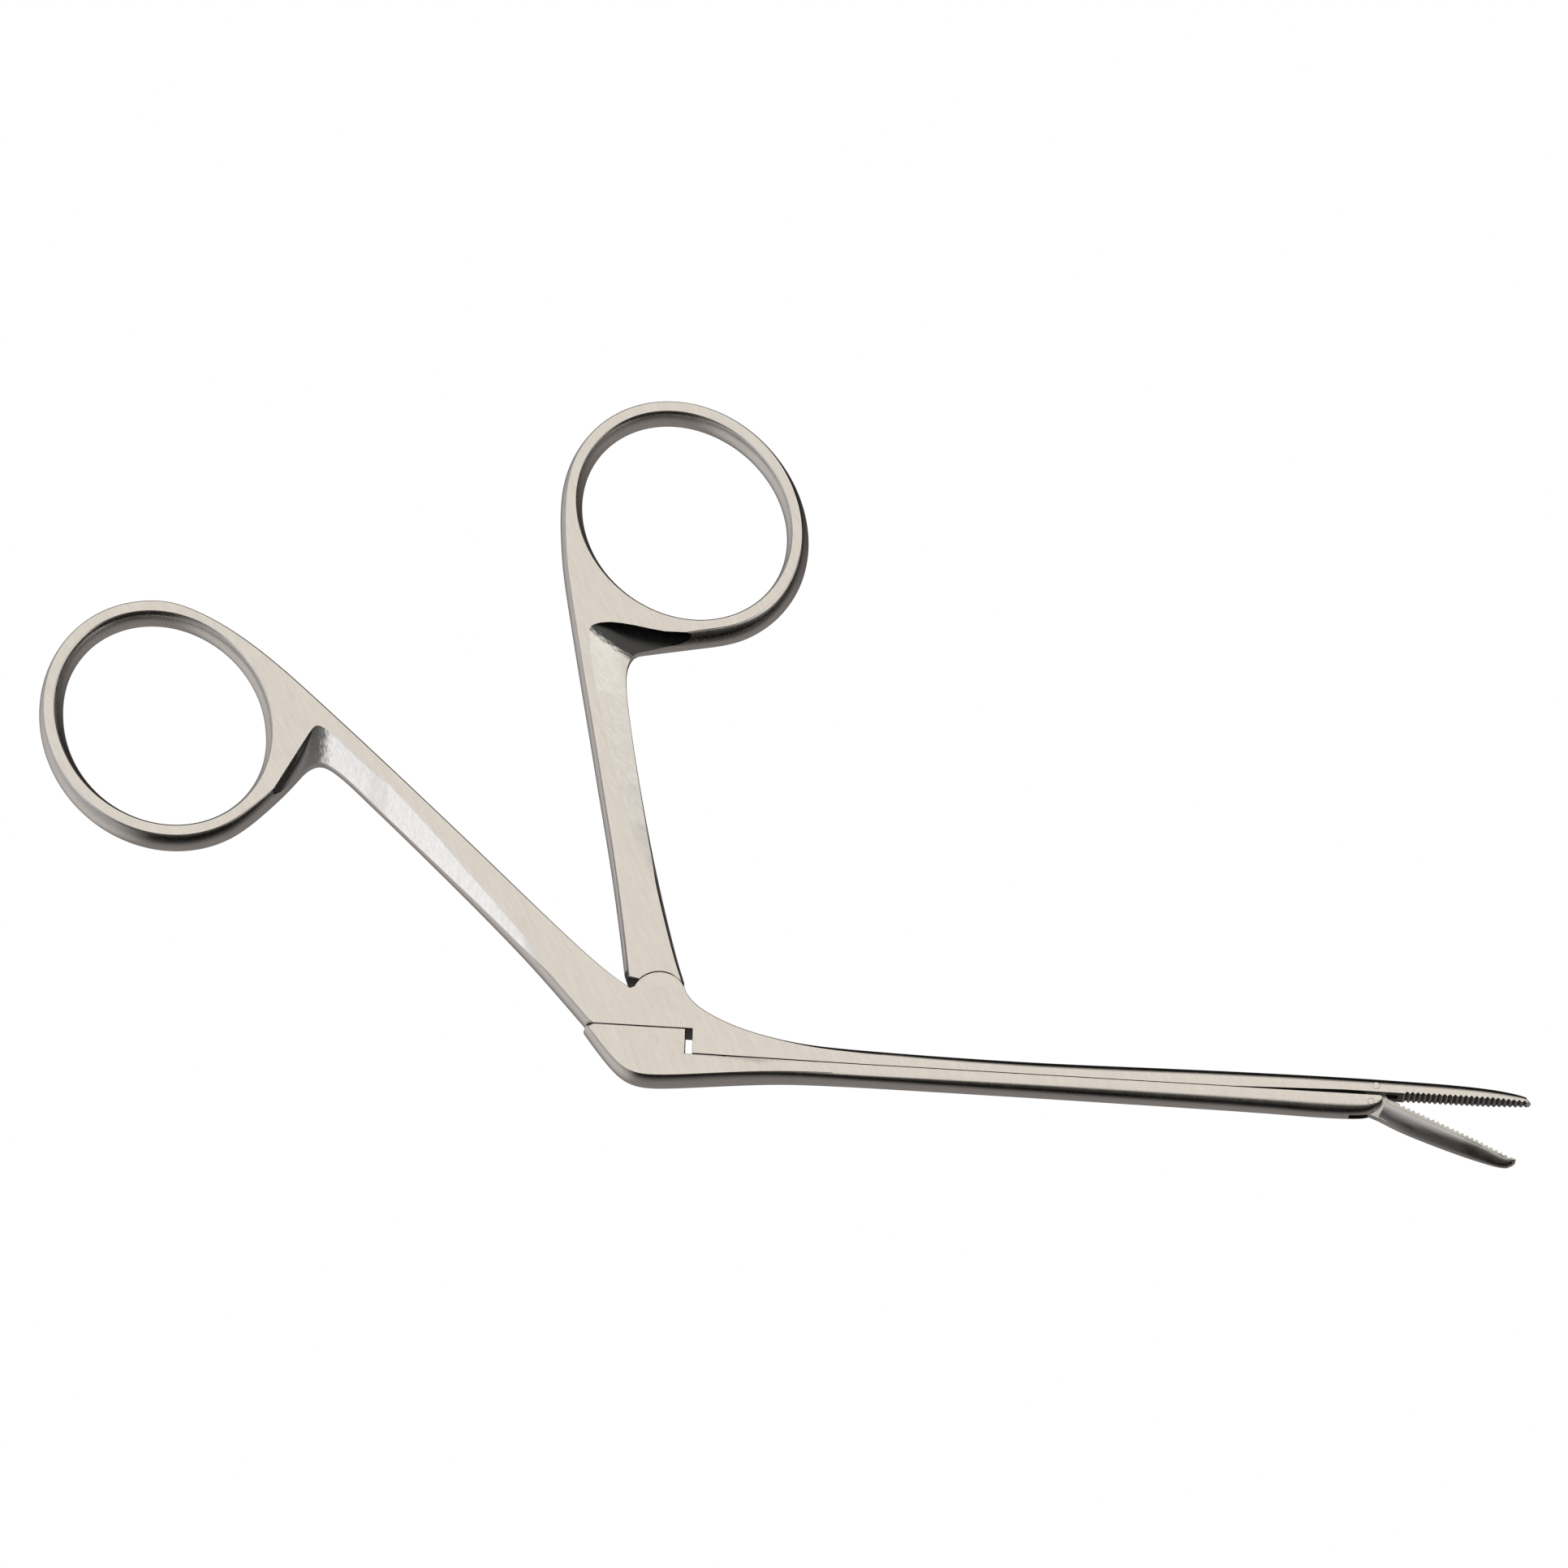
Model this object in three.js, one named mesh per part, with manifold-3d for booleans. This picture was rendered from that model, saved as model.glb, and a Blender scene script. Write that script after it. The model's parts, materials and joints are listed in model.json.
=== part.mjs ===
// Ring-handled alligator forceps with a sliding shaft, lying flat on its side.
// Millimetres. +X runs along the shaft to the jaws, +Y to the front ring, +Z out of the upper face.
// The drawing's origin is the handle pivot; the finished group is moved to stand on its box.
import * as THREE from 'three';
import { mergeVertices } from 'three/addons/utils/BufferGeometryUtils.js';
import Module from 'manifold-3d';

const wasm = await Module();
wasm.setup();

// ---- driving dimensions ----
const THICKNESS = 3.7;
const MID = THICKNESS / 2;
const SHAFT_HALF_WIDTH = 1.6;
const JAW_HALF_WIDTH = 1.4;
const TIP_HALF_WIDTH = 0.75;
const RING_BAND = 1.1;
const RING_TILT = THREE.MathUtils.degToRad(131);
const REAR_RING = {
  x: -50.75,
  y: 26.15,
  a: 11.85,
  b: 10.2,
  outer: { top: 0.15, side: 0.42, bottom: 0.85 },
  inner: { top: 0.85, side: 0.8, bottom: 0.35 },
};
const FRONT_RING = {
  x: -0.9,
  y: 50.75,
  a: 11.8,
  b: 10.0,
  outer: { top: 0.15, side: 0.48, bottom: 1.15 },
  inner: { top: 0.75, side: 0.5, bottom: 0.3 },
};
const LOBE_RADIUS = 2.72;
const LOBE_CLEARANCE = 0.07;
const SEAM_REAR = -2.88;
const SEAM_SHAFT = -5.4;
const SEAM_GAP = 0.06;
const STEP_X = 3.47;
const STEP_GAP = 0.72;
const SLOT_HALF = 0.75;
const TONGUE_HALF = 0.68;
const PIVOT_RADIUS = 1.0;
const RUNNING_GAP = 0.06;
const PIN_RECESS = 0.02;
const DRIVE_PIN = { x: -0.33, y: -4.3, radius: 0.5 };
const JAW_PIVOT = { x: 70.1, y: -4.5, radius: 0.34 };
const LINK_PIN = { x: 69.65, y: -6.14, radius: 0.3, clearance: 0.1 };
const KNUCKLE_HALF = 0.55;
const FORK_HALF = 0.62;
const JAW_OPEN = THREE.MathUtils.degToRad(22.5);
const TOOTH_PITCH = 0.52;
const TOOTH_DEPTH = 0.22;
const UPPER_TEETH = { start: 72.9, end: 85.0, line: -5.1 };
const LOWER_TEETH = { start: 72.9, end: 85.3, line: -5.16 };
const GUIDES = [14, 46];
const GUIDE_LENGTH = 5;
const GUIDE_NECK_HALF = 0.4;
const GUIDE_HEAD_HALF = 0.8;
const GUIDE_NECK = 0.45;
const GUIDE_HEAD = 0.36;
const GUIDE_GAP = 0.08;
const SLIDE_TRAVEL = 0.7;
const WALL_LAYERS = 3;

// ---- solids ----
function toSolid(geometry) {
  const bare = geometry.index ? geometry.toNonIndexed() : geometry.clone();
  bare.deleteAttribute('normal');
  bare.deleteAttribute('uv');
  const merged = mergeVertices(bare, 1e-5);
  return new wasm.Manifold(new wasm.Mesh({
    numProp: 3,
    vertProperties: merged.attributes.position.array,
    triVerts: Uint32Array.from(merged.index.array),
  }));
}

function fromTriangles(positions, indices) {
  const geometry = new THREE.BufferGeometry();
  geometry.setAttribute('position', new THREE.Float32BufferAttribute(positions, 3));
  geometry.setIndex(indices);
  return toSolid(geometry);
}

function toMesh(name, solid, colour, roughness) {
  const result = solid.getMesh();
  const geometry = new THREE.BufferGeometry();
  geometry.setAttribute('position', new THREE.Float32BufferAttribute(result.vertProperties, 3));
  geometry.setIndex(new THREE.Uint32BufferAttribute(result.triVerts, 1));
  geometry.computeVertexNormals();
  const material = new THREE.MeshStandardMaterial({ color: colour, roughness, metalness: 1 });
  const mesh = new THREE.Mesh(geometry, material);
  mesh.name = name;
  return mesh;
}

// A straight prism of an outline [[x, y], ...] between two heights.
function prism(outline, low, high) {
  const shape = new THREE.Shape(outline.map(([x, y]) => new THREE.Vector2(x, y)));
  const geometry = new THREE.ExtrudeGeometry(shape, { depth: high - low, bevelEnabled: false });
  geometry.translate(0, 0, low);
  return toSolid(geometry);
}

// A block standing evenly about mid height.
function box(x0, x1, y0, y1, halfWidth) {
  return prism([[x0, y0], [x1, y0], [x1, y1], [x0, y1]], MID - halfWidth, MID + halfWidth);
}

function pin(place, radius, low, high) {
  const geometry = new THREE.CylinderGeometry(radius, radius, high - low, 32);
  geometry.rotateX(Math.PI / 2);
  geometry.translate(place.x, place.y, (low + high) / 2);
  return toSolid(geometry);
}

const through = (place, radius) => pin(place, radius, -1, THICKNESS + 1);

// ---- outlines: points are [x, y, bulge], the bulge being how far the wall stands out at mid height ----
function bend(points, steps) {
  const curve = new THREE.CatmullRomCurve3(
    points.map(([x, y, bulge]) => new THREE.Vector3(x, y, bulge)),
    false,
    'centripetal',
  );
  return curve.getPoints(steps * (points.length - 1)).map((p) => [p.x, p.y, p.z]);
}

// Part of a tilted ellipse round a ring; its bulge changes between the top, the sides and the bottom.
function ringArc(ring, band, startDegrees, endDegrees, count, bulge) {
  const points = [];
  for (let i = 0; i <= count; i += 1) {
    const angle = THREE.MathUtils.degToRad(startDegrees + (endDegrees - startDegrees) * i / count);
    const place = new THREE.Vector2((ring.a + band) * Math.cos(angle), (ring.b + band) * Math.sin(angle));
    place.rotateAround(new THREE.Vector2(), RING_TILT);
    const height = place.y / place.length();
    const pole = height > 0 ? bulge.top : bulge.bottom;
    const wall = bulge.side + (pole - bulge.side) * Math.abs(height);
    points.push([ring.x + place.x, ring.y + place.y, wall]);
  }
  return points;
}

function circleArc(radius, startDegrees, endDegrees, count, bulge) {
  const points = [];
  for (let i = 0; i <= count; i += 1) {
    const angle = THREE.MathUtils.degToRad(startDegrees + (endDegrees - startDegrees) * i / count);
    points.push([radius * Math.cos(angle), radius * Math.sin(angle), bulge]);
  }
  return points;
}

// Each point of a counter-clockwise outline moved out by its share of the bulge; corners stay mitred.
function swell(outline, share) {
  const count = outline.length;
  return outline.map(([x, y, bulge], i) => {
    const before = outline[(i + count - 1) % count];
    const after = outline[(i + 1) % count];
    const first = new THREE.Vector2(y - before[1], before[0] - x).normalize();
    const second = new THREE.Vector2(after[1] - y, x - after[0]).normalize();
    const turn = first.cross(second);
    const out = bulge * share;
    if (Math.abs(turn) > 0.3) {
      const outBefore = Math.min(bulge, before[2]) * share;
      const outAfter = Math.min(bulge, after[2]) * share;
      return [
        x + (outBefore * second.y - outAfter * first.y) / turn,
        y + (outAfter * first.x - outBefore * second.x) / turn,
      ];
    }
    const normal = first.add(second).normalize();
    return [x + normal.x * out, y + normal.y * out];
  });
}

// A plate with bulging walls, lying about mid height, whose half thickness may change along X.
function plate(outline, holes, halfThickness) {
  const loops = [outline, ...holes];
  const positions = [];
  const indices = [];
  const layers = 2 * WALL_LAYERS;
  const capLow = [];
  const capHigh = [];
  loops.forEach((loop) => {
    const base = positions.length / 3;
    for (let layer = 0; layer <= layers; layer += 1) {
      const angle = Math.PI * (layer / layers);
      const places = swell(loop, Math.sin(angle));
      places.forEach(([x, y]) => positions.push(x, y, MID - Math.cos(angle) * halfThickness(x)));
    }
    const count = loop.length;
    for (let layer = 0; layer < layers; layer += 1) {
      for (let i = 0; i < count; i += 1) {
        const a = base + layer * count + i;
        const b = base + layer * count + (i + 1) % count;
        indices.push(a, b, b + count, a, b + count, a + count);
      }
    }
    for (let i = 0; i < count; i += 1) {
      capLow.push(base + i);
      capHigh.push(base + layers * count + i);
    }
  });
  const flat = loops.map((loop) => loop.map(([x, y]) => new THREE.Vector2(x, y)));
  THREE.ShapeUtils.triangulateShape(flat[0], flat.slice(1)).forEach(([a, b, c]) => {
    indices.push(capHigh[a], capHigh[b], capHigh[c]);
    indices.push(capLow[c], capLow[b], capLow[a]);
  });
  return fromTriangles(positions, indices);
}

// A hollow ground into both faces of an arm: stations are [inner x, inner y, outer x, outer y, depth].
function scoops(stations) {
  const OVERRUN = 0.9;
  const ABOVE = 0.5;
  const cut = (mirror) => {
    const positions = [];
    const place = (x, y, z) => positions.push(x, y, mirror ? THICKNESS - z : z);
    stations.forEach(([innerX, innerY, outerX, outerY, depth]) => {
      const farX = outerX + (outerX - innerX) * OVERRUN;
      const farY = outerY + (outerY - innerY) * OVERRUN;
      place(innerX, innerY, THICKNESS);
      place(outerX, outerY, THICKNESS - depth);
      place(farX, farY, THICKNESS - depth);
      place(farX, farY, THICKNESS + ABOVE);
      place(innerX, innerY, THICKNESS + ABOVE);
    });
    const indices = [];
    const corners = 5;
    for (let s = 0; s < stations.length - 1; s += 1) {
      for (let i = 0; i < corners; i += 1) {
        const a = s * corners + i;
        const b = s * corners + (i + 1) % corners;
        indices.push(a, b, b + corners, a, b + corners, a + corners);
      }
    }
    const last = (stations.length - 1) * corners;
    for (let i = 1; i < corners - 1; i += 1) {
      indices.push(0, i + 1, i, last, last + i, last + i + 1);
    }
    const solid = fromTriangles(positions, indices);
    return solid.volume() > 0 ? solid : fromTriangles(positions, indices.reverse());
  };
  return cut(false).add(cut(true));
}

// V grooves across a jaw, cut upwards (side 1) or downwards (side -1) from its tooth line.
function grooves(teeth, side) {
  const outline = [[teeth.start, teeth.line - side * 0.5]];
  const count = Math.floor((teeth.end - teeth.start) / TOOTH_PITCH);
  for (let i = 0; i < count; i += 1) {
    const x = teeth.start + i * TOOTH_PITCH;
    outline.push([x, teeth.line - side * 0.02]);
    outline.push([x + TOOTH_PITCH / 2, teeth.line + side * TOOTH_DEPTH]);
  }
  const end = teeth.start + count * TOOTH_PITCH;
  outline.push([end, teeth.line - side * 0.02], [end, teeth.line - side * 0.5]);
  return prism(side === 1 ? outline : outline.reverse(), -1, THICKNESS + 1);
}

const smooth = THREE.MathUtils.smoothstep;

// Half thickness of the shaft's two halves along X.
function rodHalf(x) {
  return MID - smooth(x, 5, 22) * (MID - SHAFT_HALF_WIDTH);
}

// ---- main frame ----
function frameHalf(x) {
  const toJaw = smooth(x, 66, 76) * (SHAFT_HALF_WIDTH - JAW_HALF_WIDTH);
  const toTip = smooth(x, 80, 86) * (JAW_HALF_WIDTH - TIP_HALF_WIDTH);
  return rodHalf(x) - toJaw - toTip;
}

const frameOutline = [
  [-6.4, SEAM_REAR, 0],
  [STEP_X, SEAM_REAR, 0],
  [STEP_X + 0.1, SEAM_SHAFT, 0],
  [20, SEAM_SHAFT, 0],
  [38, SEAM_SHAFT, 0],
  [56, SEAM_SHAFT, 0],
  [67, -5.1, 0],
  [72.7, -5.08, 0],
  [UPPER_TEETH.start - 0.05, UPPER_TEETH.line, 0],
  [78.5, UPPER_TEETH.line, 0],
  [81.5, UPPER_TEETH.line, 0],
  [84.6, UPPER_TEETH.line, 0],
  ...bend([
    [84.95, -5.0, 0.25],
    [84.6, -4.78, 0.42],
    [83.3, -4.56, 0.5],
    [81, -4.35, 0.5],
    [77, -4.13, 0.48],
    [70, -3.99, 0.42],
    [60, -3.98, 0.38],
    [50, -4.1, 0.36],
    [40, -4.3, 0.35],
    [31, -4.3, 0.33],
    [20, -4.06, 0.28],
    [15.1, -3.78, 0.24],
    [11.1, -3.26, 0.2],
    [8, -2.48, 0.16],
    [5, -1.24, 0.12],
    [3.3, -0.08, 0.1],
    [2.6, 0.8, 0.05],
  ], 2),
  ...circleArc(LOBE_RADIUS, 22, 156, 16, 0),
  ...bend([
    [-2.9, 0.93, 0.05],
    [-5.1, 2.36, 0.1],
    [-9.3, 5.79, 0.15],
    [-17.8, 13.35, 0.2],
    [-26.35, 20.88, 0.2],
    [-34.95, 28.28, 0.2],
    [-43.2, 34.85, 0.2],
    ...ringArc(REAR_RING, RING_BAND, -48, 186, 13, REAR_RING.outer),
    [-37.9, 20.75, 0.48],
    [-36.5, 22.5, 0.45],
    [-35.1, 23.1, 0.4],
    [-33.6, 22.6, 0.38],
    [-30, 19.6, 0.36],
    [-21.3, 11.8, 0.36],
    [-12.9, 3.9, 0.36],
    [-8.2, -1.05, 0.36],
    [-6.6, -2.75, 0.36],
  ], 3),
];

const frameScoops = scoops([
  [-36.1, 24.9, -38.2, 18.2, 0.05],
  [-35.7, 25.6, -36.6, 20.2, 0.9],
  [-35.0, 25.8, -35.0, 21.2, 1.25],
  [-33.6, 25.0, -32.9, 20.9, 1.3],
  [-31.0, 23.2, -30.0, 19.0, 1.3],
  [-24.4, 17.0, -25.7, 15.2, 1.3],
  [-19.8, 12.1, -21.4, 11.2, 1.15],
  [-14.0, 6.0, -15.0, 5.3, 0.6],
  [-11.0, 3.2, -12.2, 2.6, 0.05],
]);

// The slot through the body: round the pivot, open over the lobe and down to the seam for the tang.
const bodySlot = [
  ...circleArc(2.2, 205, 335, 10, 0).map(([x, y]) => [x, y]),
  [2.35, 0.5],
  [2.9, 1.3],
  [2.9, 3.2],
  [-3.0, 3.2],
  [-3.0, 1.35],
  [-2.35, 0.5],
];
const tangWay = [[-1.3, -3.4], [1.3, -3.4], [1.5, -1.2], [-1.5, -1.2]];

// The ground groove that holds a guide key, with the wide pocket behind it that the key enters by.
function guideGroove(x) {
  const top = SEAM_SHAFT + GUIDE_NECK + GUIDE_HEAD + GUIDE_GAP - SEAM_GAP;
  const neckTop = SEAM_SHAFT - SEAM_GAP + GUIDE_NECK - GUIDE_GAP;
  const pocket = GUIDE_LENGTH + 2 * GUIDE_GAP;
  const head = box(x - GUIDE_GAP, x + GUIDE_LENGTH + SLIDE_TRAVEL, neckTop, top, GUIDE_HEAD_HALF + GUIDE_GAP);
  const neck = box(
    x - GUIDE_GAP, x + GUIDE_LENGTH + SLIDE_TRAVEL, SEAM_SHAFT - 0.3, top, GUIDE_NECK_HALF + GUIDE_GAP,
  );
  const entry = box(x - GUIDE_GAP - pocket, x, SEAM_SHAFT - 0.3, top, GUIDE_HEAD_HALF + GUIDE_GAP);
  return head.add(neck).add(entry);
}

function mainFrame() {
  const hole = ringArc(REAR_RING, 0, 360, 0, 48, REAR_RING.inner).slice(1);
  let solid = plate(frameOutline, [hole], frameHalf);
  const knuckleSlot = box(69.2, 72.3, -6, -3.84, FORK_HALF);
  const cuts = [
    frameScoops,
    prism(bodySlot, MID - SLOT_HALF, MID + SLOT_HALF),
    prism(tangWay, MID - SLOT_HALF, MID + SLOT_HALF),
    ...GUIDES.map(guideGroove),
    knuckleSlot,
    grooves(UPPER_TEETH, 1),
    through({ x: 0, y: 0 }, PIVOT_RADIUS + RUNNING_GAP / 2),
    through(JAW_PIVOT, JAW_PIVOT.radius + RUNNING_GAP / 2),
  ];
  cuts.forEach((cut) => {
    solid = solid.subtract(cut);
  });
  return solid;
}

// ---- front handle with its tongue ----
const ARC_RADIUS = LOBE_RADIUS + LOBE_CLEARANCE;
const handleOutline = [
  ...circleArc(ARC_RADIUS, 139, 66, 12, 0),
  [2.2, 1.8, 0.1],
  ...bend([
    [2.15, 1.95, 0.25],
    [1.26, 4.3, 0.28],
    [-0.77, 10.9, 0.3],
    [-2.55, 17.5, 0.32],
    [-4.15, 24.2, 0.34],
    [-5.4, 30.2, 0.36],
    [-5.85, 33.4, 0.36],
    [-5.75, 35.2, 0.4],
    [-5.1, 36.5, 0.45],
    [-3.8, 37.1, 0.6],
    [-2.0, 37.7, 0.85],
    ...ringArc(FRONT_RING, RING_BAND, 146, 405, 14, FRONT_RING.outer),
    [-12.55, 47.5, 0.42],
    [-12.1, 44.3, 0.4],
    [-11.4, 40.9, 0.4],
    [-9.9, 34.1, 0.4],
    [-8.35, 27.3, 0.4],
    [-6.85, 20.6, 0.4],
    [-5.35, 13.9, 0.38],
    [-4.05, 7.3, 0.36],
    [-3.15, 2.3, 0.36],
  ], 3),
  [-3.1, 2.02, 0.2],
];

const handleScoops = scoops([
  [-8.6, 38.5, -3.2, 37.6, 0.05],
  [-9.15, 37.9, -4.2, 36.0, 0.9],
  [-9.36, 37.2, -5.0, 34.6, 1.2],
  [-9.15, 35.3, -5.5, 33.4, 1.25],
  [-8.38, 31.7, -5.3, 30.4, 1.25],
  [-7.0, 26.7, -4.4, 26.0, 1.1],
  [-4.25, 18.2, -2.3, 17.6, 0.6],
  [-0.9, 11.0, -0.5, 10.9, 0.05],
]);

const tangTilt = Math.atan2(DRIVE_PIN.x, -DRIVE_PIN.y);

// The tongue: an eye round the pivot, a root inside the handle and a tang down to the drive pin.
function tongue() {
  const eye = prism(circleArc(2.05, 0, 350, 35, 0), MID - TONGUE_HALF, MID + TONGUE_HALF);
  const root = prism([[-2.0, 0], [1.9, 0], [1.5, 3.6], [0.4, 5], [-2.4, 5], [-2.35, 2]], MID - TONGUE_HALF,
    MID + TONGUE_HALF);
  const tangOutline = [
    [-0.8, 0],
    [-0.8, -4.5],
    [-0.55, -5.0],
    [0.55, -5.0],
    [0.8, -4.5],
    [0.8, 0],
  ].map(([x, y]) => [
    x * Math.cos(tangTilt) - y * Math.sin(tangTilt),
    x * Math.sin(tangTilt) + y * Math.cos(tangTilt),
  ]);
  const tang = prism(tangOutline, MID - TONGUE_HALF, MID + TONGUE_HALF);
  return eye.add(root).add(tang);
}

function frontHandle() {
  const hole = ringArc(FRONT_RING, 0, 360, 0, 48, FRONT_RING.inner).slice(1);
  let solid = plate(handleOutline, [hole], () => MID).subtract(handleScoops).add(tongue());
  solid = solid.subtract(through({ x: 0, y: 0 }, PIVOT_RADIUS + RUNNING_GAP));
  const slotReach = 0.12;
  const eyeRadius = DRIVE_PIN.radius + RUNNING_GAP;
  const low = { x: DRIVE_PIN.x * (1 + slotReach / 4.3), y: DRIVE_PIN.y - slotReach };
  return solid.subtract(through(DRIVE_PIN, eyeRadius)).subtract(through(low, eyeRadius));
}

// ---- slide rod ----
const rodOutline = [
  [STEP_X - STEP_GAP, SEAM_REAR - SEAM_GAP, 0],
  [-6.3, SEAM_REAR - SEAM_GAP, 0],
  ...bend([
    [-6.85, -3.2, 0.35],
    [-5.4, -4.95, 0.4],
    [-3.7, -6.92, 0.4],
    [-2.4, -7.82, 0.36],
    [-0.9, -8.08, 0.3],
    [1.2, -8.02, 0.28],
    [4, -7.78, 0.25],
    [8, -7.34, 0.25],
    [12, -6.92, 0.28],
    [16, -6.66, 0.32],
    [22, -6.52, 0.4],
    [40, -6.48, 0.6],
    [60, -6.46, 0.82],
    [68.3, -6.5, 0.86],
    [70.0, -6.45, 0.66],
    [70.65, -6.16, 0.32],
    [70.78, -5.82, 0.12],
    [70.66, -5.56, 0.05],
    [70.45, SEAM_SHAFT - SEAM_GAP, 0],
  ], 2),
  [62, SEAM_SHAFT - SEAM_GAP, 0],
  [38, SEAM_SHAFT - SEAM_GAP, 0],
  [20, SEAM_SHAFT - SEAM_GAP, 0],
  [STEP_X + 0.1 - STEP_GAP, SEAM_SHAFT - SEAM_GAP, 0],
];

function guideKey(x) {
  const foot = SEAM_SHAFT - SEAM_GAP;
  const neck = box(x, x + GUIDE_LENGTH, foot - 0.3, foot + GUIDE_NECK + 0.1, GUIDE_NECK_HALF);
  const head = box(x, x + GUIDE_LENGTH, foot + GUIDE_NECK, foot + GUIDE_NECK + GUIDE_HEAD, GUIDE_HEAD_HALF);
  return neck.add(head);
}

function slideRod() {
  let solid = plate(rodOutline, [], rodHalf);
  GUIDES.forEach((x) => {
    solid = solid.add(guideKey(x));
  });
  const tangPocket = prism([[-1.5, -5.35], [0.85, -5.35], [0.85, -2], [-1.5, -2]], MID - SLOT_HALF,
    MID + SLOT_HALF);
  const fork = box(67.6, 72, -8, -4, FORK_HALF);
  return solid
    .subtract(tangPocket)
    .subtract(fork)
    .subtract(through(DRIVE_PIN, DRIVE_PIN.radius + RUNNING_GAP / 2))
    .subtract(through(LINK_PIN, LINK_PIN.radius + RUNNING_GAP / 2));
}

// ---- lower jaw, drawn closed about the jaw pivot and then opened ----
function jawHalf(x) {
  return JAW_HALF_WIDTH - smooth(x, 80, 85.6) * (JAW_HALF_WIDTH - TIP_HALF_WIDTH);
}

const jawOutline = [
  [71.75, -5.2, 0],
  ...bend([
    [71.8, -5.5, 0.05],
    [71.95, -5.75, 0.3],
    [72.3, -6.0, 1.05],
    [74, -6.0, 1.2],
    [77, -5.9, 1.15],
    [80, -5.8, 1.0],
    [82.5, -5.68, 0.85],
    [84.5, -5.55, 0.6],
    [85.25, -5.36, 0.4],
  ], 2),
  [85.35, LOWER_TEETH.line, 0],
  [81, LOWER_TEETH.line, 0],
  [77, LOWER_TEETH.line, 0],
  [LOWER_TEETH.start - 0.1, LOWER_TEETH.line, 0],
];

function lowerJaw() {
  const closedLink = new THREE.Vector2(LINK_PIN.x - JAW_PIVOT.x, LINK_PIN.y - JAW_PIVOT.y)
    .rotateAround(new THREE.Vector2(), JAW_OPEN)
    .add(new THREE.Vector2(JAW_PIVOT.x, JAW_PIVOT.y));
  const low = MID - KNUCKLE_HALF;
  const high = MID + KNUCKLE_HALF;
  const web = prism([
    [70.1, -3.88],
    [69.6, -4.1],
    [69.48, -4.6],
    [69.45, -6.3],
    [69.75, -7.0],
    [70.6, -7.3],
    [73.5, -7.3],
    [73.5, -5.3],
    [72.2, -5.3],
    [70.75, -4.4],
    [70.6, -4.05],
  ], low, high);
  return plate(jawOutline, [], jawHalf)
    .add(web)
    .subtract(grooves(LOWER_TEETH, -1))
    .subtract(through(JAW_PIVOT, JAW_PIVOT.radius + RUNNING_GAP))
    .subtract(through(closedLink, LINK_PIN.radius + LINK_PIN.clearance));
}

// ---- assembly ----
const STEEL = 0xd8d0c6;
const STEEL_ROUGHNESS = 0.38;
const PIN_STEEL = 0xc9c2b9;
const PIN_ROUGHNESS = 0.32;

const assembly = new THREE.Group();
assembly.add(toMesh('main_frame', mainFrame(), STEEL, STEEL_ROUGHNESS));
assembly.add(toMesh('front_handle', frontHandle(), STEEL, STEEL_ROUGHNESS));
assembly.add(toMesh('slide_rod', slideRod(), STEEL, STEEL_ROUGHNESS));

const jaw = toMesh('lower_jaw', lowerJaw(), STEEL, STEEL_ROUGHNESS);
jaw.geometry.translate(-JAW_PIVOT.x, -JAW_PIVOT.y, 0);
jaw.position.set(JAW_PIVOT.x, JAW_PIVOT.y, 0);
jaw.rotation.z = -JAW_OPEN;
assembly.add(jaw);

function addPin(name, place, radius, halfLength) {
  const solid = pin(place, radius, MID - halfLength + PIN_RECESS, MID + halfLength - PIN_RECESS);
  assembly.add(toMesh(name, solid, PIN_STEEL, PIN_ROUGHNESS));
}
addPin('handle_pivot_pin', { x: 0, y: 0 }, PIVOT_RADIUS, MID);
addPin('drive_pin', DRIVE_PIN, DRIVE_PIN.radius, MID);
addPin('jaw_pivot_pin', JAW_PIVOT, JAW_PIVOT.radius, frameHalf(JAW_PIVOT.x));
addPin('jaw_link_pin', LINK_PIN, LINK_PIN.radius, rodHalf(LINK_PIN.x));

assembly.updateMatrixWorld(true);
const bounds = new THREE.Box3().setFromObject(assembly, true);
const centre = bounds.getCenter(new THREE.Vector3());
assembly.position.set(-centre.x, -centre.y, -bounds.min.z);

export default assembly;
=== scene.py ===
"""The looks of a pair of ring-handled alligator forceps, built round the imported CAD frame.

Outlines are in millimetres from the handle pivot, with +X along the shaft and +Z out of the upper face.
Each forging is a plate with bulging walls, and its hollows, slots and teeth are cut out of it.
The pins are turned.
"""

import json
import math

import bmesh
import bpy
import numpy as np
from mathutils import Matrix, Vector
from mathutils.geometry import delaunay_2d_cdt


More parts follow.
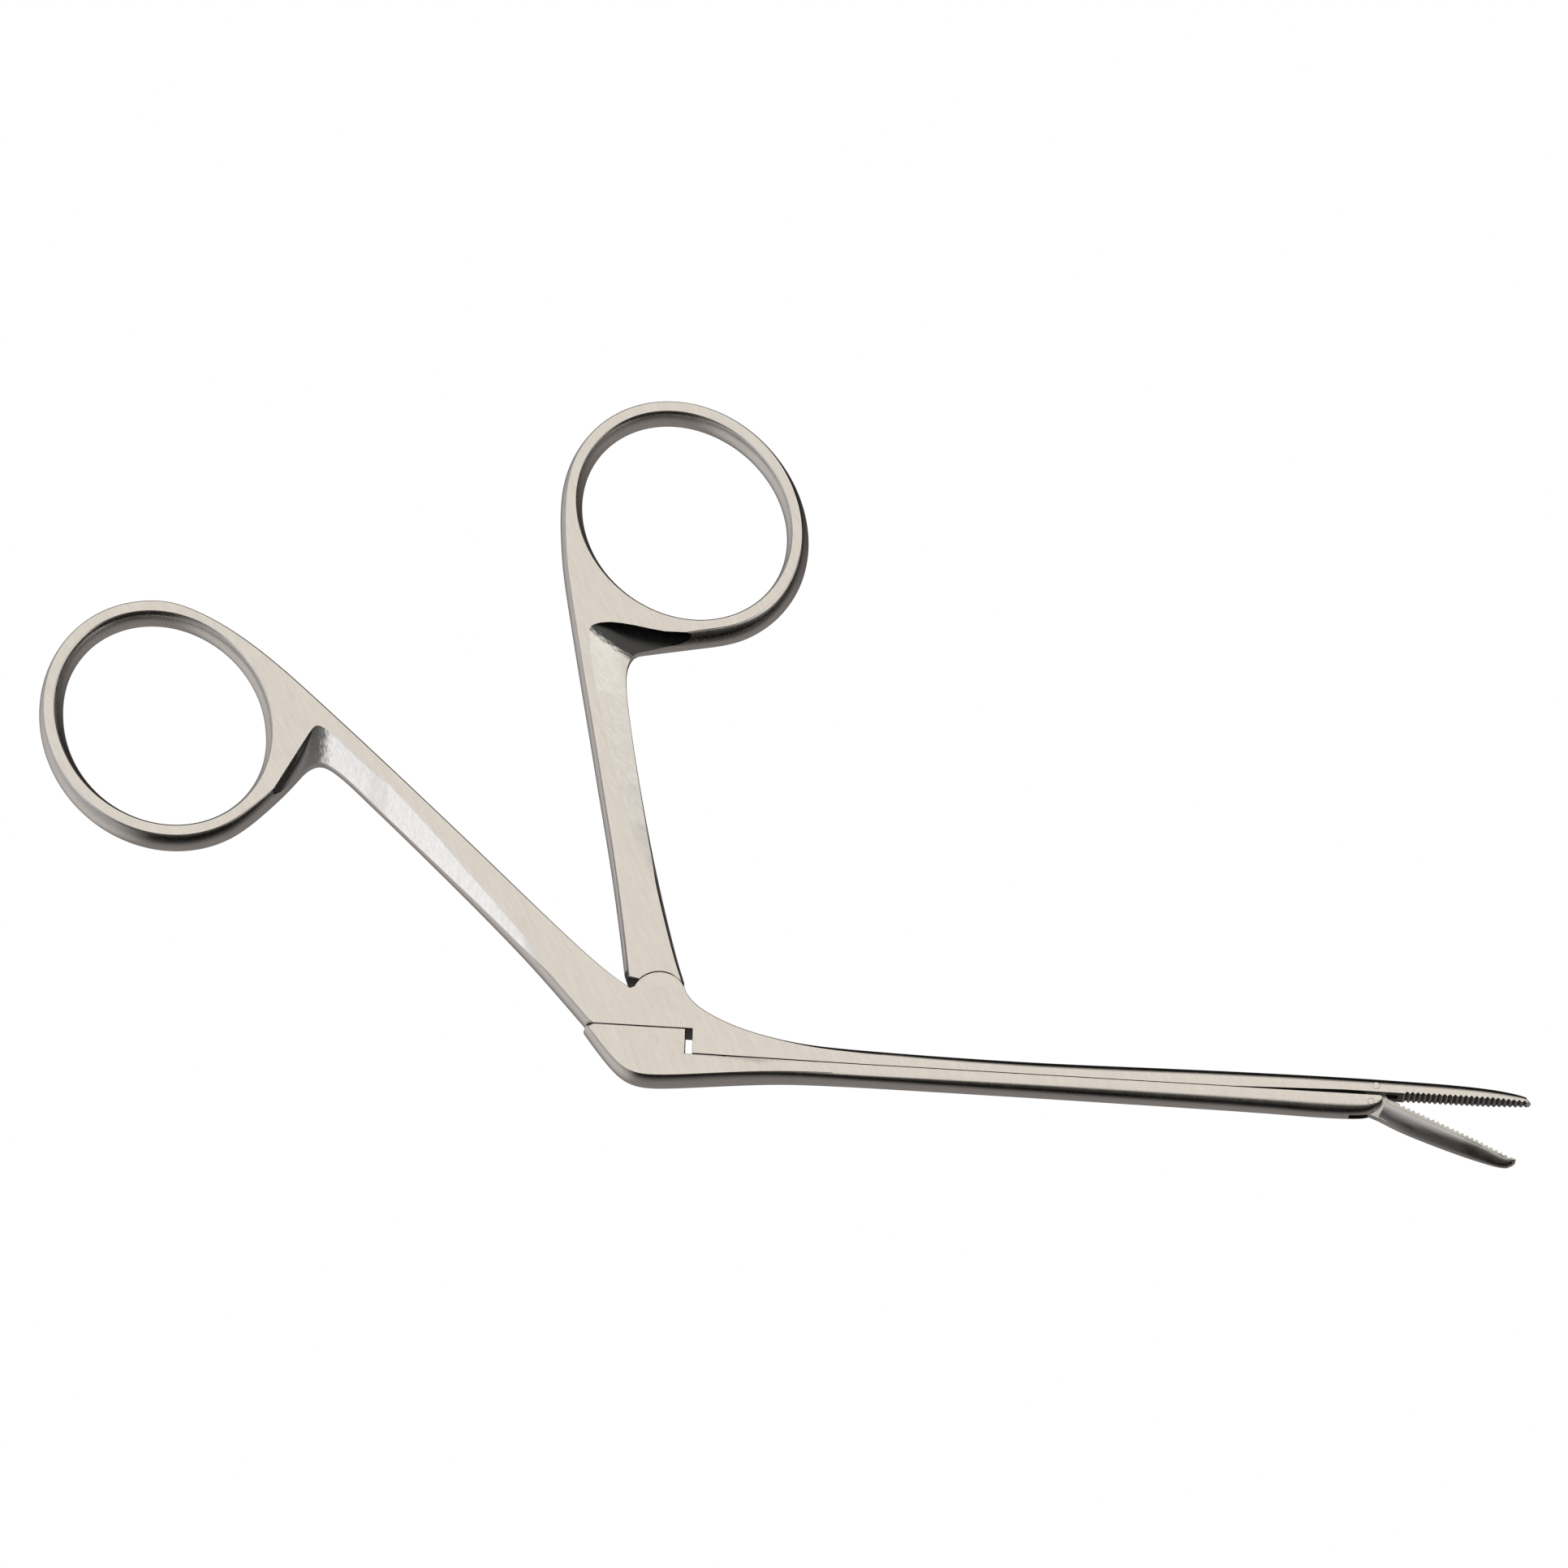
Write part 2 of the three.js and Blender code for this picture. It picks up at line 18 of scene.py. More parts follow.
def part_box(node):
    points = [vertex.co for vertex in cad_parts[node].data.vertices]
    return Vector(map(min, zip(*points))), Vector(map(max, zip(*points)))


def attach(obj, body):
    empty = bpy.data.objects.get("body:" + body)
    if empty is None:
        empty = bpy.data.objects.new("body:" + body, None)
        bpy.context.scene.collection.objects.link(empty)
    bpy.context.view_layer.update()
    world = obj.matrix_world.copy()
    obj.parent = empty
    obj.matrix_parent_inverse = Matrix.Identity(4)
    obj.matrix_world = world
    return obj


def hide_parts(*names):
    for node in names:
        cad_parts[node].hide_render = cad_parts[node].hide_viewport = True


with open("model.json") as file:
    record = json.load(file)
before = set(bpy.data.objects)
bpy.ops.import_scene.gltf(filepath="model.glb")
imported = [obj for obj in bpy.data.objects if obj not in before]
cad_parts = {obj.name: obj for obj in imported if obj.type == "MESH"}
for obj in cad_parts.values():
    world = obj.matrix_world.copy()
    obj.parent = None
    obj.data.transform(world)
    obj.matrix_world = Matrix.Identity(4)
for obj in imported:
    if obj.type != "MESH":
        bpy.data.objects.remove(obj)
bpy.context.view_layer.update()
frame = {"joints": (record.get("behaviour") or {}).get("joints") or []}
joints = {joint["name"]: joint for joint in frame["joints"]}

# ---- places taken from the frame ----
MM = 0.001
PIVOT = Vector(joints["handle_pivot"]["pos_m"])


def in_mm(point):
    """A point of the frame in the outlines' own millimetres."""
    return (Vector(point) - Vector((PIVOT.x, PIVOT.y, 0))) / MM


def pin_of(node):
    """Centre, radius and ends of a pin, read from its CAD node."""
    low, high = (in_mm(corner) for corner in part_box(node))
    middle = (low + high) / 2
    return {"x": middle.x, "y": middle.y, "radius": (high.x - low.x) / 2, "low": low.z, "high": high.z}


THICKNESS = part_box("front_handle")[1].z / MM
MID = THICKNESS / 2
HANDLE_PIN = pin_of("handle_pivot_pin")
DRIVE_PIN = pin_of("drive_pin")
JAW_PIN = pin_of("jaw_pivot_pin")
LINK_PIN = pin_of("jaw_link_pin")
JAW_OPEN = math.radians(22.5)

# ---- sizes, in millimetres ----
SHAFT_HALF_WIDTH = 1.6
JAW_HALF_WIDTH = 1.4
TIP_HALF_WIDTH = 0.75

# How wide an edge is broken depends on how far its wall bulges.
SEAM_EDGE = 0.04
OUTER_EDGE = 0.12
ROUND_EDGE = 0.02
BULGES = [0.03, 0.2, 0.45, 0.7]
BULGE_EDGES = [SEAM_EDGE, OUTER_EDGE, OUTER_EDGE, ROUND_EDGE]

# A corner is where an outline turns by more than this sine, and it is kept clear of other points.
CORNER = 0.3
CLEARING = 0.3

# Walls are this near to round, from 0 to 1, except along the shaft, where they are round.
HANDLE_ROUNDNESS = 0.25

RING_BAND = 1.1
RING_TILT = math.radians(131)
REAR_RING = {
    "x": -50.75,
    "y": 26.15,
    "a": 11.85,
    "b": 10.2,
    "outer": {"top": 0.15, "side": 0.5, "bottom": 0.95},
    "inner": {"top": 0.85, "side": 0.8, "bottom": 0.35},
}
FRONT_RING = {
    "x": -0.9,
    "y": 50.75,
    "a": 11.8,
    "b": 10.0,
    "outer": {"top": 0.15, "side": 0.55, "bottom": 1.2},
    "inner": {"top": 0.75, "side": 0.5, "bottom": 0.3},
}
LOBE_RADIUS = 2.72
LOBE_CLEARANCE = 0.07
SEAM_REAR = -2.88
SEAM_SHAFT = -5.4
SEAM_GAP = 0.08
RUNNING_GAP = 0.06
LINK_GAP = 0.1
DRIVE_SLOT = 0.12
ROD_NICK = {"x": 6.7, "y": -5.33, "radius": 0.22}
STEP_X = 3.47
STEP_GAP = 0.72
SLOT_HALF = 0.75
TONGUE_HALF = 0.68
FORK_HALF = 0.62
KNUCKLE_HALF = 0.55
TOOTH_PITCH = 0.52
TOOTH_DEPTH = 0.22
UPPER_TEETH = {"start": 72.9, "end": 85.0, "line": -5.1}
LOWER_TEETH = {"start": 72.9, "end": 85.3, "line": -5.16}

# A pin's end stands this far beyond its CAD end, just under the face, with a fine line round it, a thin gap
# whose wall is painted near-black as shade.
FLUSH = 0.0195
PIN_LINE = 0.004
JAW_PIN_LINE = 0.02

# A hollow's cutter rises past the face before its lid, so that it leaves no skin behind.
HOLLOW_DEPTH = 1.35
HOLLOW_RISE = 0.3
HOLLOW_LID = 0.5
HOLLOW_SOFTNESS = 0.2

# ---- fineness of the meshes ----
HOLLOW_STEP = 0.2
CAP_STEP = 0.7
WALL_LAYERS = 9
CURVE_STEPS = 10
CIRCLE_SIDES = 72
PIN_SIDES = 64
SHARP_ANGLE = math.radians(32)


# ---- outlines: rows of x, y and bulge, the bulge being how far the wall stands out at mid height ----
def between(first, second, start, end, at):
    """The value at a place on the straight line that has one value at its start and another at its end."""
    return ((end - at) * first + (at - start) * second) / (end - start)


def bend(points, steps=CURVE_STEPS):
    """A curve through the points: each span lies on the cubic through the nearest four, and is then eased."""
    rows = np.array(points, float)
    rows = np.vstack([2 * rows[0] - rows[1], rows, 2 * rows[-1] - rows[-2]])
    curve = []
    for i in range(1, len(rows) - 2):
        level = rows[i - 1:i + 3]
        gaps = np.sqrt(np.linalg.norm(np.diff(level[:, :2], axis=0), axis=1)) + 1e-9
        t = np.concatenate([[0], np.cumsum(gaps)])
        for s in np.linspace(t[1], t[2], steps, endpoint=False):
            lines = [between(level[k], level[k + 1], t[k], t[k + 1], s) for k in range(3)]
            arcs = [between(lines[k], lines[k + 1], t[k], t[k + 2], s) for k in range(2)]
            curve.append(between(arcs[0], arcs[1], t[0], t[3], s))
    curve.append(rows[-2])
    curve = np.array(curve)
    for _ in range(steps):
        curve[1:-1] = 0.5 * curve[1:-1] + 0.25 * (curve[:-2] + curve[2:])
    return curve


def ring_arc(ring, band, start, end, count, bulge):
    """Part of a tilted ellipse round a ring; its bulge changes between the top, the sides and the bottom."""
    angle = np.radians(np.linspace(start, end, count + 1))
    u = (ring["a"] + band) * np.cos(angle)
    v = (ring["b"] + band) * np.sin(angle)
    x = u * math.cos(RING_TILT) - v * math.sin(RING_TILT)
    y = u * math.sin(RING_TILT) + v * math.cos(RING_TILT)
    height = y / np.hypot(x, y)
    pole = np.where(height > 0, bulge["top"], bulge["bottom"])
    wall = bulge["side"] + (pole - bulge["side"]) * np.abs(height)
    return np.column_stack([ring["x"] + x, ring["y"] + y, wall])


def circle_arc(radius, start, end, count, centre=(0, 0)):
    angle = np.radians(np.linspace(start, end, count + 1))
    x = centre[0] + radius * np.cos(angle)
    y = centre[1] + radius * np.sin(angle)
    return np.column_stack([x, y, np.zeros(count + 1)])


def circle(radius, sides, centre=(0, 0)):
    return circle_arc(radius, 0, 360 - 360 / sides, sides - 1, centre)


def turns(loop):
    """How far the loop turns at each point, as the sine of the angle."""
    steps = np.roll(loop[:, :2], -1, axis=0) - loop[:, :2]
    steps /= np.linalg.norm(steps, axis=1, keepdims=True)
    before = np.roll(steps, 1, axis=0)
    return before[:, 0] * steps[:, 1] - before[:, 1] * steps[:, 0]


def clear_corners(loop):
    """The loop without the points that crowd its corners, which a broken edge would fold over."""
    corners = np.abs(turns(loop)) > CORNER
    apart = np.linalg.norm(loop[:, None, :2] - loop[None, corners, :2], axis=2)
    crowded = (apart < CLEARING).any(axis=1) & ~corners
    return loop[~crowded]


def swell(loop, out):
    """Every point of a counter-clockwise loop moved out by its own distance; corners stay mitred."""
    place = loop[:, :2]
    before = np.roll(place, 1, axis=0)
    after = np.roll(place, -1, axis=0)
    first = np.column_stack([place[:, 1] - before[:, 1], before[:, 0] - place[:, 0]])
    second = np.column_stack([after[:, 1] - place[:, 1], place[:, 0] - after[:, 0]])
    first /= np.linalg.norm(first, axis=1, keepdims=True)
    second /= np.linalg.norm(second, axis=1, keepdims=True)
    turn = first[:, 0] * second[:, 1] - first[:, 1] * second[:, 0]
    middle = first + second
    middle /= np.linalg.norm(middle, axis=1, keepdims=True)
    moved = place + middle * out[:, None]
    corner = np.abs(turn) > CORNER
    out_before = np.minimum(out, np.roll(out, 1))[corner]
    out_after = np.minimum(out, np.roll(out, -1))[corner]
    first = first[corner]
    second = second[corner]
    moved[corner, 0] = place[corner, 0] + (out_before * second[:, 1] - out_after * first[:, 1]) / turn[corner]
    moved[corner, 1] = place[corner, 1] + (out_after * first[:, 0] - out_before * second[:, 0]) / turn[corner]
    return moved


# ---- solids ----
def new_object(name, vertices, faces):
    """A mesh object from millimetre vertices, closed and facing out."""
    mesh = bpy.data.meshes.new(name)
    points = np.array(vertices, float) * MM + np.array([PIVOT.x, PIVOT.y, 0])
    mesh.from_pydata(points.tolist(), [], faces)
    shape = bmesh.new()
    shape.from_mesh(mesh)
    bmesh.ops.recalc_face_normals(shape, faces=shape.faces)
    shape.to_mesh(mesh)
    shape.free()
    piece = bpy.data.objects.new(name, mesh)
    bpy.context.scene.collection.objects.link(piece)
    return piece


def bands(first, rows, count):
    """Quads that join loops of vertices which follow one another, from the first vertex on."""
    quads = []
    for row in range(rows):
        start = first + row * count
        for i in range(count):
            j = (i + 1) % count
            quads.append((start + i, start + j, start + count + j, start + count + i))
    return quads


def inside(points, loop):
    """Whether each point lies inside a closed loop."""
    result = np.zeros(len(points), bool)
    for (x0, y0), (x1, y1) in zip(loop, np.roll(loop, -1, axis=0)):
        crosses = (y0 > points[:, 1]) != (y1 > points[:, 1])
        reach = x0 + (points[:, 1] - y0) * (x1 - x0) / (y1 - y0 + 1e-12)
        result ^= crosses & (points[:, 0] < reach)
    return result


def fill(rims):
    """Even triangles between an outer rim and its holes: the points added inside, and the triangles."""
    low = rims[0].min(axis=0)
    high = rims[0].max(axis=0)
    grid = np.mgrid[low[0]:high[0]:CAP_STEP, low[1]:high[1]:CAP_STEP].reshape(2, -1).T
    keep = inside(grid, rims[0])
    for hole in rims[1:]:
        keep &= ~inside(grid, hole)
    grid = grid[keep]
    rim = np.vstack(rims)
    away = [np.min(np.hypot(*(rim - point).T)) > CAP_STEP / 2 for point in grid]
    grid = grid[np.array(away, bool)]
    edges = []
    start = 0
    for loop in rims:
        count = len(loop)
        edges += [(start + i, start + (i + 1) % count) for i in range(count)]
        start += count
    points = [Vector(point) for point in np.vstack([rim, grid])]
    found, _, triangles, sources, _, _ = delaunay_2d_cdt(points, edges, [], 0, 1e-7)
    middle = np.array([sum((found[i] for i in triangle), Vector((0, 0))) / 3 for triangle in triangles])
    keep = inside(middle, rims[0])
    for hole in rims[1:]:
        keep &= ~inside(middle, hole)
    named = [[sources[i][0] for i in triangle] for triangle, kept in zip(triangles, keep) if kept]
    return grid, named


def plate(name, finish, outline, holes, half_thickness, roundness):
    """A plate about mid height with softly broken edges and bulging walls.

    Where roundness is 0 a wall is a parabola that meets the face at a clear edge, and at 1 it is an ellipse.
    """
    broken_edge = [(-1, 0), (-0.3, 0.7)]
    heights = np.sin(np.linspace(-math.pi / 2, math.pi / 2, 2 * WALL_LAYERS + 1))
    vertices = []
    faces = []
    caps = []
    base = 0
    loops = [clear_corners(np.array(loop, float)) for loop in (outline, *holes)]
    for loop in loops:
        count = len(loop)
        share = roundness(loop[:, 0])
        edge = np.interp(loop[:, 2], BULGES, BULGE_EDGES) * (1.2 - 1.1 * share)
        rows = [(move * edge, -1, drop * edge) for move, drop in broken_edge]
        for level in heights:
            flat = 1 - level ** 2
            rows.append((loop[:, 2] * (flat + share * (math.sqrt(max(flat, 0)) - flat)), level, edge))
        rows += [(out, 1, drop) for out, _, drop in reversed(rows[:2])]
        for out, level, drop in rows:
            place = swell(loop, out)
            half = half_thickness(place[:, 0])
            z = MID + level * (half - drop)
            vertices.append(np.column_stack([place, z]))
        faces += bands(base, len(rows) - 1, count)
        caps.append((base, base + (len(rows) - 1) * count, count))
        base += len(rows) * count
    vertices = np.vstack(vertices)
    rims = [vertices[low:low + count, :2] for low, _, count in caps]
    inner, triangles = fill(rims)
    for end, side in ((0, -1), (1, 1)):
        names = np.concatenate([np.arange(cap[end], cap[end] + cap[2]) for cap in caps])
        names = np.concatenate([names, len(vertices) + np.arange(len(inner))])
        height = MID + side * half_thickness(inner[:, 0])
        vertices = np.vstack([vertices, np.column_stack([inner, height])])
        faces += [tuple(int(names[i]) for i in triangle) for triangle in triangles]
    piece = new_object(name, vertices, faces)
    piece.data.materials.append(finish)
    return piece


def paint_shade_on_walls(piece, chosen):
    """Paints shade onto the walls that a rule picks by their middle and normal, in millimetres: they take the
    near-black steel.
    """
    piece.data.materials.append(painted_shade_steel)
    for face in piece.data.polygons:
        if abs(face.normal.z) < 0.6 and chosen(in_mm(face.center), face.normal):
            face.material_index = 1


def prism(outline, low, high):
    """A straight prism of an x, y outline between two heights."""
    count = len(outline)
    vertices = [(p[0], p[1], z) for z in (low, high) for p in outline]
    faces = [tuple(range(count)), tuple(range(count, 2 * count)), *bands(0, 1, count)]
    return new_object("cutter", vertices, faces)


def box(x0, x1, y0, y1, half_width):
    return prism([(x0, y0), (x1, y0), (x1, y1), (x0, y1)], MID - half_width, MID + half_width)


def bore(centre, radius):
    return prism(circle(radius, CIRCLE_SIDES, centre), -1, THICKNESS + 1)


def combine(piece, other, operation, finish=None):
    """Joins another solid to a piece or cuts it away; new faces take its finish or the one given."""
    if finish:
        other.data.materials.append(finish)
    change = piece.modifiers.new("combine", "BOOLEAN")
    change.material_mode = "TRANSFER"
    change.solver = "MANIFOLD"
    change.operation = operation
    change.object = other
    graph = bpy.context.evaluated_depsgraph_get()
    result = bpy.data.meshes.new_from_object(piece.evaluated_get(graph))
    piece.modifiers.clear()
    piece.data = result
    bpy.data.objects.remove(other)


def hollows(corner, far_corner, facet, heel, finish):
    """Cutters for one hollow in each face: a slanting facet that ends in the heel a grinding wheel leaves.

    facet and heel give a depth at each place, and the shallower one is the floor.
    """
    x, y = np.meshgrid(
        np.arange(corner[0], far_corner[0], HOLLOW_STEP),
        np.arange(corner[1], far_corner[1], HOLLOW_STEP),
        indexing="ij",
    )
    slope = facet(x, y)
    curl = heel(x, y)
    depth = -HOLLOW_SOFTNESS * np.logaddexp(-slope / HOLLOW_SOFTNESS, -curl / HOLLOW_SOFTNESS)
    floor = np.clip(depth, -HOLLOW_RISE, HOLLOW_DEPTH)
    rows, columns = x.shape
    index = np.arange(rows * columns).reshape(rows, columns)
    quads = np.stack([index[:-1, :-1], index[1:, :-1], index[1:, 1:], index[:-1, 1:]], axis=-1)
    quads = quads.reshape(-1, 4)
    border = np.concatenate([index[:-1, 0], index[-1, :-1], index[:0:-1, -1], index[0, :0:-1]])
    lid = rows * columns + np.arange(len(border))
    sides = np.column_stack([border, np.roll(border, -1), np.roll(lid, -1), lid])
    cutters = []
    for top in (True, False):
        height = np.concatenate([THICKNESS - floor.ravel(), np.full(len(border), THICKNESS + HOLLOW_LID)])
        places = np.column_stack([
            np.concatenate([x.ravel(), x.ravel()[border]]),
            np.concatenate([y.ravel(), y.ravel()[border]]),
            height if top else THICKNESS - height,
        ])
        cutter = new_object("cutter", places, [*quads.tolist(), *sides.tolist(), lid.tolist()])
        cutter.data.materials.append(finish)
        cutters.append(cutter)
    return cutters


def wheel_curl(distance, width):
    """Depth of the arc a wheel leaves at a distance from its edge; it reaches the full depth at the width."""
    half_turn = math.atan2(HOLLOW_DEPTH, width)
    radius = width / math.sin(2 * half_turn)
    across = np.clip(width - distance, 0, 0.999 * radius)
    return np.sqrt(radius ** 2 - across ** 2) - radius * math.cos(2 * half_turn)


def grooves(teeth, side):
    """V grooves across a jaw, cut upwards (side 1) or downwards (side -1) from its tooth line."""
    outline = [(teeth["start"], teeth["line"] - side * 0.5)]
    count = int((teeth["end"] - teeth["start"]) / TOOTH_PITCH)
    for i in range(count):
        x = teeth["start"] + i * TOOTH_PITCH
        outline.append((x, teeth["line"] - side * 0.02))
        outline.append((x + TOOTH_PITCH / 2, teeth["line"] + side * TOOTH_DEPTH))
    end = teeth["start"] + count * TOOTH_PITCH
    outline += [(end, teeth["line"] - side * 0.02), (end, teeth["line"] - side * 0.5)]
    return prism(outline, -1, THICKNESS + 1)


def ease(x, low, high):
    """A smooth step from 0 at low to 1 at high."""
    t = np.clip((x - low) / (high - low), 0, 1)
    return t * t * (3 - 2 * t)


# ---- half thickness and roundness along the pieces ----
def rod_half(x):
    return MID - ease(x, 5, 22) * (MID - SHAFT_HALF_WIDTH)


def frame_half(x):
    to_jaw = ease(x, 66, 76) * (SHAFT_HALF_WIDTH - JAW_HALF_WIDTH)
    to_tip = ease(x, 80, 86) * (JAW_HALF_WIDTH - TIP_HALF_WIDTH)
    return rod_half(x) - to_jaw - to_tip


def jaw_half(x):
    return JAW_HALF_WIDTH - ease(x, 80, 85.6) * (JAW_HALF_WIDTH - TIP_HALF_WIDTH)


def handle_half(x):
    return np.full_like(x, MID)


def crisp(x):
    return np.full_like(x, HANDLE_ROUNDNESS)


def round_along_shaft(x):
    return HANDLE_ROUNDNESS + (1 - HANDLE_ROUNDNESS) * ease(x, 4, 24)


# ---- the hollows' floors: facets fall away from one edge, and heels curl up beside the rings ----
def rear_facet(x, y):
    edge = np.interp(
        x,
        [-40.5, -36, -35.2, -34.6, -34, -30, -28, -24.4, -19.8, -16.3, -13.3, -11, -10],
        [26.3, 26.3, 26.2, 25.9, 25.4, 21.95, 20.5, 17, 12.1, 8.5, 5.35, 3.2, 2.2],
    )
    fall = np.interp(
        x,
        [-34, -29, -24, -20, -17.6, -14.3, -11.7, -11],
        [0.4, 0.38, 0.35, 0.34, 0.31, 0.25, 0.05, 0],
    )
    return fall * (edge - y)


def rear_heel(x, y):
    return wheel_curl(((x + 36.1) - 0.5 * (y - 25.7)) / math.hypot(1, 0.5), 1.9)


def front_facet(x, y):
    edge = np.interp(
        y,
        [10.9, 14.5, 18.2, 22.25, 26.7, 31.65, 34.9, 36, 39.5],
        [-0.9, -2.7, -4.25, -5.65, -7, -8.38, -9.1, -9.3, -9.6],
    )
    fall = np.interp(y, [10.9, 14.5, 18, 22, 27, 31.6, 36], [0.02, 0.24, 0.32, 0.36, 0.38, 0.39, 0.37])
    return fall * (x - edge)


def front_heel(x, y):
    edge = np.interp(
        x,
        [-10.4, -9.2, -8.4, -7.4, -6.2, -5, -3.6, -2, 1.6],
        [38.3, 38.5, 38.72, 38.82, 38.76, 38.62, 38.38, 38.16, 38.2],
    )
    return wheel_curl(edge - y + 0.1, 2.9)


# ---- main frame ----
def main_frame():
    lower = [
        [-6.4, SEAM_REAR, 0],
        [STEP_X, SEAM_REAR, 0],
        [STEP_X + 0.1, SEAM_SHAFT, 0],
        [20, SEAM_SHAFT, 0],
        [38, SEAM_SHAFT, 0],
        [56, SEAM_SHAFT, 0],
        [67, -5.1, 0],
        [72.7, -5.08, 0],
        [UPPER_TEETH["start"] - 0.05, UPPER_TEETH["line"], 0],
        [78.5, UPPER_TEETH["line"], 0],
        [81.5, UPPER_TEETH["line"], 0],
        [84.7, UPPER_TEETH["line"], 0],
    ]
    upper = bend([
        [85.0, -5.05, 0.2],
        [84.95, -4.92, 0.35],
        [84.6, -4.78, 0.42],
        [83.3, -4.7, 0.64],
        [81, -4.58, 0.76],
        [77, -4.44, 0.84],
        [70, -4.36, 0.84],
        [60, -4.38, 0.84],
        [50, -4.52, 0.86],
        [40, -4.7, 0.86],
        [31, -4.66, 0.8],
        [20, -4.3, 0.6],
        [15.1, -3.95, 0.46],
        [11.1, -3.26, 0.2],
        [8, -2.48, 0.16],
        [5, -1.24, 0.12],
        [3.3, -0.08, 0.1],
        [2.6, 0.8, 0.05],
    ])
    arm = bend([
        [-2.9, 0.93, 0.05],
        [-5.1, 2.36, 0.1],
        [-9.3, 5.79, 0.15],
        [-17.8, 13.35, 0.2],
        [-26.35, 20.88, 0.2],
        [-34.95, 28.28, 0.2],
        [-43.2, 34.85, 0.2],
        *ring_arc(REAR_RING, RING_BAND, -48, 186, 13, REAR_RING["outer"]),
        [-37.9, 20.75, 0.48],
        [-36.5, 22.5, 0.45],
        [-35.1, 23.1, 0.4],
        [-33.6, 22.6, 0.38],
        [-30, 19.6, 0.36],
        [-21.3, 11.8, 0.36],
        [-12.9, 3.9, 0.36],
        [-8.2, -1.05, 0.36],
        [-6.6, -2.75, 0.36],
    ])
    outline = np.vstack([lower, upper, circle_arc(LOBE_RADIUS, 22, 156, 48), arm])
    hole = ring_arc(REAR_RING, 0, 360, 0, 160, REAR_RING["inner"])[1:]
    piece = plate("frame_steel", steel, outline, [hole], frame_half, round_along_shaft)
    # Painted shade: the walls along the seam and round the lobe get the near-black steel.
    paint_shade_on_walls(piece, lambda at, n: -6.5 < at.x < 73 and at.y < -2.8 and (n.y < -0.5 or n.x < -0.9))
    paint_shade_on_walls(piece, lambda at, n: at.xy.length < LOBE_RADIUS + 0.1 and n.y > 0.2)
    # The hollow's grind marks are the steel's own; the dark heel is painted shade.
    for cutter in hollows((-40.5, 1.5), (-10.4, 27), rear_facet, rear_heel, upright_marks_and_heel_shade):
        combine(piece, cutter, "DIFFERENCE")
    # The slots, fork, teeth and pin rings cut below take the near-black steel as painted shade.
    body_slot = np.vstack([
        circle_arc(2.2, 205, 335, 20)[:, :2],
        [[2.35, 0.5], [2.9, 1.3], [2.9, 3.2], [-3.0, 3.2], [-3.0, 1.35], [-2.35, 0.5]],
    ])
    tang_way = [(-1.3, -3.4), (1.3, -3.4), (1.5, -1.2), (-1.5, -1.2)]
    for outline in (body_slot, tang_way):
        combine(piece, prism(outline, MID - SLOT_HALF, MID + SLOT_HALF), "DIFFERENCE", painted_shade_steel)
    combine(piece, box(69.2, 72.3, -6, -3.84, FORK_HALF), "DIFFERENCE", painted_shade_steel)
    combine(piece, grooves(UPPER_TEETH, 1), "DIFFERENCE", painted_shade_steel)
    for pin, line in ((HANDLE_PIN, PIN_LINE), (JAW_PIN, JAW_PIN_LINE)):
        combine(piece, bore((pin["x"], pin["y"]), pin["radius"] + line), "DIFFERENCE", painted_shade_steel)
    return piece


